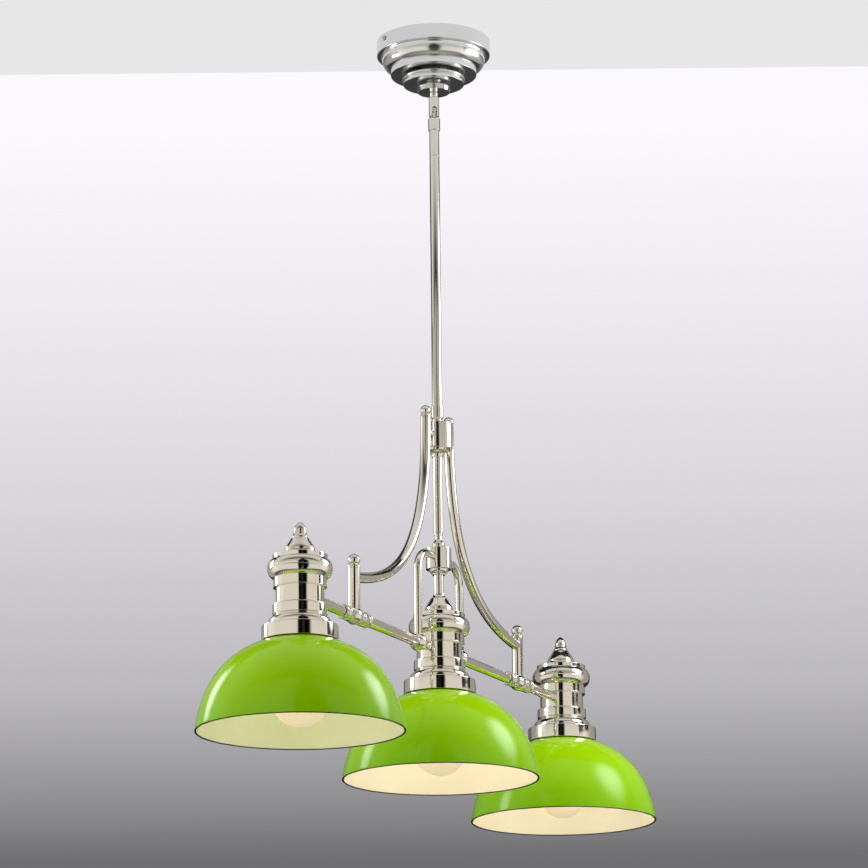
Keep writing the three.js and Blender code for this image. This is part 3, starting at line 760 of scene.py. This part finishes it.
def build_lamp():
    canopy()
    swivel()
    down_rod()
    upper_hub()
    sweep_and_posts()
    lower_stem()
    for word, side in SIDES.items():
        side_screw(word, side)
        yoke(word, side)
        crossbar(word, side)
    lamps()
    for node in ("mounting_bracket", "canopy_nut"):
        frame["nodes"][node].data.materials.clear()
        frame["nodes"][node].data.materials.append(ZINC)


build_lamp()


# ---- studio: directions are along the view (away from the camera), across it and up ----
AHEAD = Vector((math.sin(CAMERA_YAW), math.cos(CAMERA_YAW), 0))
ACROSS = Vector((math.cos(CAMERA_YAW), -math.sin(CAMERA_YAW), 0))
UP = Vector((0, 0, 1))


def spot(across, ahead, up):
    return ACROSS * across + AHEAD * ahead + UP * up


def stage_panel(name, corners, material):
    mesh = bpy.data.meshes.new(name)
    mesh.from_pydata([tuple(c) for c in corners], [], [(0, 1, 2, 3)])
    mesh.materials.append(material)
    panel = bpy.data.objects.new(name, mesh)
    bpy.context.scene.collection.objects.link(panel)


def one_sided(name, stops=None, level=0.8, height=(0.0, 1.0), mirrored=1.0):
    """A lit surface, seen from its front only and mirrored in the lamp at a part of its brightness.

    With stops, its light follows the height.
    """
    material = bpy.data.materials.new(name)
    material.use_nodes = True
    nodes, links = material.node_tree.nodes, material.node_tree.links
    nodes.clear()
    output = nodes.new("ShaderNodeOutputMaterial")
    front = nodes.new("ShaderNodeEmission")
    front.inputs["Color"].default_value = (level, level, level, 1)
    back = nodes.new("ShaderNodeBsdfTransparent")
    face = nodes.new("ShaderNodeNewGeometry")
    path = nodes.new("ShaderNodeLightPath")
    strength = ranged(nodes, links, path.outputs["Is Camera Ray"], mirrored, 1.0, 0.0, 1.0)
    links.new(strength, front.inputs["Strength"])
    mix = nodes.new("ShaderNodeMixShader")
    links.new(face.outputs["Backfacing"], mix.inputs["Fac"])
    links.new(front.outputs["Emission"], mix.inputs[1])
    links.new(back.outputs["BSDF"], mix.inputs[2])
    links.new(mix.outputs["Shader"], output.inputs["Surface"])
    if stops:
        where = nodes.new("ShaderNodeTexCoord")
        split = nodes.new("ShaderNodeSeparateXYZ")
        ramp = nodes.new("ShaderNodeValToRGB")
        links.new(where.outputs["Object"], split.inputs["Vector"])
        links.new(ranged(nodes, links, split.outputs["Z"], 0, 1, *height), ramp.inputs["Fac"])
        links.new(ramp.outputs["Color"], front.inputs["Color"])
        held = ramp.color_ramp.elements
        first_and_last = {0.0: 0, 1.0: -1}
        for place, value in stops:
            stop = held[first_and_last[place]] if place in first_and_last else held.new(place)
            stop.color = (value, value * 0.98, value * 1.025, 1)
    return material


FLOOR_Z = -2.75
FLOOR_HALF = 6
WALL_AHEAD = 2.6
WALL_HALF = 9.0
WALL_TOP = 1.6
RAMP_TOP = 0.75  # height at which the backdrop has its full light
CEILING_BACK = 0.135
CEILING_FRONT = -0.45
CEILING_HALF = 2.5
CEILING_LIFT = 0.0005  # the board is just above the canopy's flat face


def studio_shell():
    """Pale floor, a ceiling board that ends just behind the canopy and a backdrop darker at its foot."""
    half = FLOOR_HALF
    corners = (-half, -half), (half, -half), (half, half), (-half, half)
    stage_panel("floor", [spot(across, ahead, FLOOR_Z) for across, ahead in corners],
                glazed("pale_floor", (0.62, 0.61, 0.62), (0.58, 0.57, 0.58), 0.6, 0.8))
    stops = [
        (0.0, 0.05), (0.45, 0.10), (0.52, 0.167), (0.586, 0.37), (0.625, 0.49), (0.75, 0.69),
        (0.88, 0.845), (1.0, 0.965),
    ]
    half = WALL_HALF
    corners = (-half, FLOOR_Z), (half, FLOOR_Z), (half, WALL_TOP), (-half, WALL_TOP)
    stage_panel("backdrop", [spot(across, WALL_AHEAD, up) for across, up in corners],
                one_sided("backdrop_light", stops, height=(FLOOR_Z, RAMP_TOP), mirrored=0.3))
    half = CEILING_HALF
    corners = (-half, CEILING_BACK), (half, CEILING_BACK), (half, CEILING_FRONT), (-half, CEILING_FRONT)
    stage_panel("ceiling_board", [spot(across, ahead, CEILING_LIFT) for across, ahead in corners],
                one_sided("ceiling_light", level=0.80, mirrored=0.9))


def eased(value, low, high):
    """0 below low, 1 above high and an even curve between; low may be the larger one."""
    t = min(max((value - low) / (high - low), 0.0), 1.0)
    return t * t * (3 - 2 * t)


def glow_sheet(name, rows, colour, gloss_only=False):
    """A sheet of light that the camera doesn't see. rows is a grid of (place, brightness)."""
    mesh = bpy.data.meshes.new(name)
    wide = len(rows[0])
    faces = [(r * wide + c, r * wide + c + 1, (r + 1) * wide + c + 1, (r + 1) * wide + c)
             for r in range(len(rows) - 1) for c in range(wide - 1)]
    mesh.from_pydata([tuple(place) for row in rows for place, _ in row], [], faces)
    glow = mesh.color_attributes.new("glow", "FLOAT_COLOR", "POINT")
    for i, (_, level) in enumerate(cell for row in rows for cell in row):
        glow.data[i].color = (*(level * c for c in colour), 1)
    material = bpy.data.materials.new(name)
    material.use_nodes = True
    nodes, links = material.node_tree.nodes, material.node_tree.links
    nodes.clear()
    light = nodes.new("ShaderNodeEmission")
    level_at = nodes.new("ShaderNodeAttribute")
    level_at.attribute_name = "glow"
    output = nodes.new("ShaderNodeOutputMaterial")
    links.new(level_at.outputs["Color"], light.inputs["Color"])
    links.new(light.outputs["Emission"], output.inputs["Surface"])
    mesh.materials.append(material)
    sheet = bpy.data.objects.new(name, mesh)
    sheet.visible_camera = False
    sheet.visible_shadow = False
    sheet.visible_diffuse = not gloss_only
    bpy.context.scene.collection.objects.link(sheet)


WARM = (1.0, 0.955, 0.865)
ROOF_FRONT = -1.35
ROOF_LIFT = 0.002
ROOF_LEVEL = 0.72
ROOF_STRIPS = 12
SURROUND_WIDE = 2.1  # half-axes of the surround's oval plan
SURROUND_DEEP = 1.42
SURROUND_LOW = -2.5
SURROUND_HIGH = 0.35
SURROUND_START = 2.0  # degrees from the camera's direction
SURROUND_END = 155
GAP_TURN = {-1: 7.0, 1: 9.0}  # degrees at which the dark gap ends low down, left and right
GAP_EDGE = {-1: 1.5, 1: 5.0}  # degrees over which the light then rises


def surround_level(turn, height, side):
    """Brightness of the surround: a dark gap in front, narrower higher up, and less light behind."""
    gap = SURROUND_START + (GAP_TURN[side] - SURROUND_START) * eased(height, 0.0, -0.5)
    edge = eased(turn, gap, gap + GAP_EDGE[side])
    body = 0.82 + 0.12 * eased(turn, 50, 80) - 0.55 * eased(turn, 95, 135)
    front = eased(height, 0.32, 0.05) * (0.65 + 0.35 * eased(height, -0.2, -0.7))
    beside = eased(height, 0.3, -0.2)
    towards_side = eased(turn, 45, 75)
    foot = eased(height, SURROUND_LOW, -1.9)
    return edge * body * foot * (front * (1 - towards_side) + beside * towards_side)


def surround():
    """Two curved sheets of light, from the gap in front round to behind the lamps."""
    columns, levels = 90, 26
    for side in (-1, 1):
        rows = []
        for j in range(levels + 1):
            height = SURROUND_LOW + (SURROUND_HIGH - SURROUND_LOW) * j / levels
            row = []
            for i in range(columns + 1):
                turn = SURROUND_START + (SURROUND_END - SURROUND_START) * i / columns
                angle = math.radians(turn)
                across = side * SURROUND_WIDE * math.sin(angle)
                place = spot(across, -SURROUND_DEEP * math.cos(angle), height)
                row.append((place, surround_level(turn, height, side)))
            rows.append(row)
        glow_sheet(f"surround_{'left' if side < 0 else 'right'}", rows, WARM)


def glow_card(name, centre, target, size, level, gloss_only=False):
    """A round-edged card of light, brightest in its middle."""
    turn = (target - centre).to_track_quat("-Z", "Y")
    count = 24
    rows = []
    for j in range(count + 1):
        row = []
        for i in range(count + 1):
            u, v = 2 * i / count - 1, 2 * j / count - 1
            place = centre + turn @ Vector((u * size[0] / 2, v * size[1] / 2, 0))
            row.append((place, level * eased(math.hypot(u, v), 1.0, 0.25)))
        rows.append(row)
    glow_sheet(name, rows, (1, 1, 1), gloss_only)


def roof():
    """The ceiling's light goes on towards the camera and fades out."""
    rows = []
    for j in range(ROOF_STRIPS + 1):
        ahead = CEILING_FRONT + (ROOF_FRONT - CEILING_FRONT) * j / ROOF_STRIPS
        level = ROOF_LEVEL * eased(ahead, ROOF_FRONT, CEILING_FRONT)
        rows.append([(spot(across, ahead, ROOF_LIFT), level) for across in (-1.8, -0.9, 0, 0.9, 1.8)])
    glow_sheet("roof", rows, (1, 0.98, 0.94))


def studio_lights():
    """Surround, roof and the side cards. The shine card lights only what mirrors it."""
    surround()
    roof()
    right_shades, left_shades = spot(0.1, 0.15, -1.15), spot(0, 0.1, -1.15)
    glow_card("side_card_right", spot(1.15, 0.12, -0.3), right_shades, (1.0, 1.1), 7.0)
    glow_card("shine_card_right", spot(1.2, 0.12, -0.27), right_shades, (1.1, 1.25), 30.0, gloss_only=True)
    glow_card("side_card_left", spot(-1.15, 0.2, -0.6), left_shades, (0.5, 0.9), 7.0)


def bulb_lights():
    """The glow of each bulb, from inside its globe."""
    powers = {
        "left": (0.31, (0.88, 0.96, 0.24)),
        "middle": (0.56, (1.0, 0.83, 0.48)),
        "right": (0.57, (1.0, 0.83, 0.48)),
    }
    for word, (power, colour) in powers.items():
        light = bpy.data.lights.new(f"glow_{word}", "POINT")
        light.energy = power
        light.color = colour
        light.shadow_soft_size = 0.02
        lamp = bpy.data.objects.new(f"glow_{word}", light)
        lamp.location = (LAMP_X[word] * MM, 0, (RIM + BULB_Z) * MM)
        lamp.parent = frame["bodies"][BODY_OF[f"bulb_{word}"]]
        bpy.context.scene.collection.objects.link(lamp)
        bpy.data.objects[f"bulb_{word}_finished"].visible_shadow = False


WORLD_MIRRORED = 0.02
WORLD_SEEN = 0.82


def world():
    """Pale behind everything that the camera sees directly, nearly dark for what the metal reflects."""
    scene_world = bpy.data.worlds.new("world")
    bpy.context.scene.world = scene_world
    scene_world.use_nodes = True
    nodes, links = scene_world.node_tree.nodes, scene_world.node_tree.links
    background = nodes["Background"]
    path = nodes.new("ShaderNodeLightPath")
    shade_of = ranged(nodes, links, path.outputs["Is Camera Ray"], WORLD_MIRRORED, WORLD_SEEN, 0.0, 1.0)
    links.new(shade_of, background.inputs["Strength"])
    background.inputs["Color"].default_value = (1, 1, 1, 1)


studio_shell()
studio_lights()
bulb_lights()
world()
